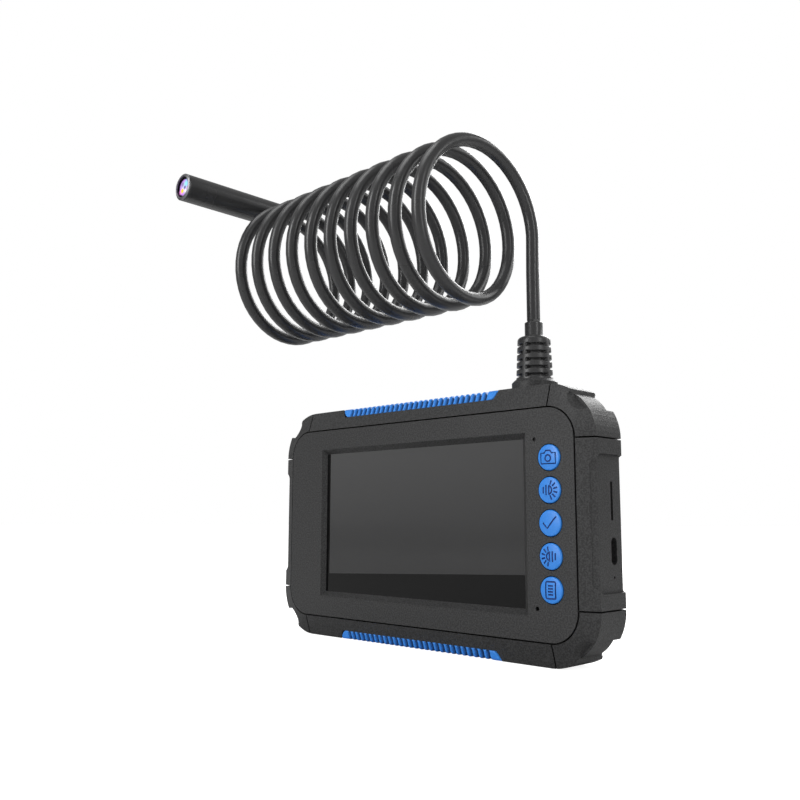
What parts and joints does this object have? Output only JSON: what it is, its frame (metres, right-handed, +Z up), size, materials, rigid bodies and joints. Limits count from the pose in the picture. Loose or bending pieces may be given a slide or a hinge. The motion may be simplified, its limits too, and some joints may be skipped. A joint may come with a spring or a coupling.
{
  "type": "inspection camera",
  "caption": "Handheld inspection camera: framed screen with side buttons, soft corner bumpers, ribbed grips and a slim probe on a cable wound into an open coil.",
  "frame": {"origin": "under the middle of the housing, on the surface that its lower grip strip stands on", "axes": "+Z up, the screen faces -Y, +X to the right as seen from the front, where the sockets are"},
  "size_m": [0.1512, 0.0851, 0.1743],
  "materials": {
    "charcoal_plastic": "fine-grained moulded plastic",
    "bumper_rubber": "fine-grained soft moulding",
    "black_rubber": "satin rubber",
    "blue_grip": "satin soft moulding",
    "blue_button": "satin moulded caps with debossed pictograms",
    "display_glass": "gloss cover glass",
    "display_dark": "dark display, switched off",
    "white_plastic": "smooth white",
    "steel": "plated steel",
    "dark_steel": "blackened steel",
    "switch_metal": "small stamped parts",
    "flex_amber": "amber film",
    "board_green": "solder mask",
    "chip_black": "moulded black",
    "ivory_plastic": "moulded ivory",
    "battery_wrap": "foil pouch",
    "lead_red": "wire insulation",
    "cable_jacket": "smooth semi-matte jacket",
    "probe_black": "satin black barrel",
    "probe_glass": "small flat window",
    "lens_coating": "coated lens",
    "light_cream": "light emitters"
  },
  "bodies": {
    "housing": {"rear_housing": "charcoal_plastic", "front_cover": "charcoal_plastic", "housing_seal": "black_rubber", "bumper_top_right": "bumper_rubber", "bumper_top_left": "bumper_rubber", "bumper_bottom_right": "bumper_rubber", "bumper_bottom_left": "bumper_rubber", "grip_strip_top": "blue_grip", "grip_strip_bottom": "blue_grip", "display_window": "display_glass", "window_gasket": "black_rubber", "display_panel": "display_dark", "backlight_unit": "white_plastic", "display_carrier": "steel", "display_ribbon": "flex_amber", "keypad_board": "board_green", "key_switches": "switch_metal", "keypad_ribbon": "flex_amber", "status_led": "white_plastic", "microphone": "steel", "main_board": "board_green", "board_chips": "chip_black", "board_connectors": "ivory_plastic", "usb_socket": "steel", "card_socket": "steel", "reset_switch": "switch_metal", "battery_pack": "battery_wrap", "battery_pad": "black_rubber", "battery_lead": "lead_red", "housing_screws": "dark_steel", "board_screws": "steel", "strain_relief_boot": "black_rubber", "gland_nut": "steel", "inner_lead": "cable_jacket", "cable_lead": "cable_jacket", "cable_coil": "cable_jacket", "cable_tail": "cable_jacket", "probe_housing": "probe_black", "probe_nose_ring": "steel", "probe_window": "probe_glass", "probe_lens_barrel": "chip_black", "probe_lens": "lens_coating", "probe_lights": "light_cream", "probe_sensor_board": "board_green", "probe_end_cap": "probe_black"},
    "button_capture_cap": {"button_capture": "blue_button"},
    "button_brighter_cap": {"button_brighter": "blue_button"},
    "button_confirm_cap": {"button_confirm": "blue_button"},
    "button_dimmer_cap": {"button_dimmer": "blue_button"},
    "button_menu_cap": {"button_menu": "blue_button"}
  },
  "joints": [
    {"name": "press_capture", "type": "slide", "parent": "housing", "child": "button_capture_cap", "axis": [0, 1, 0], "range_m": [0, 0.0006], "stiffness_N_per_m": 2000},
    {"name": "press_brighter", "type": "slide", "parent": "housing", "child": "button_brighter_cap", "axis": [0, 1, 0], "range_m": [0, 0.0006], "stiffness_N_per_m": 2000},
    {"name": "press_confirm", "type": "slide", "parent": "housing", "child": "button_confirm_cap", "axis": [0, 1, 0], "range_m": [0, 0.0006], "stiffness_N_per_m": 2000},
    {"name": "press_dimmer", "type": "slide", "parent": "housing", "child": "button_dimmer_cap", "axis": [0, 1, 0], "range_m": [0, 0.0006], "stiffness_N_per_m": 2000},
    {"name": "press_menu", "type": "slide", "parent": "housing", "child": "button_menu_cap", "axis": [0, 1, 0], "range_m": [0, 0.0006], "stiffness_N_per_m": 2000}
  ]
}
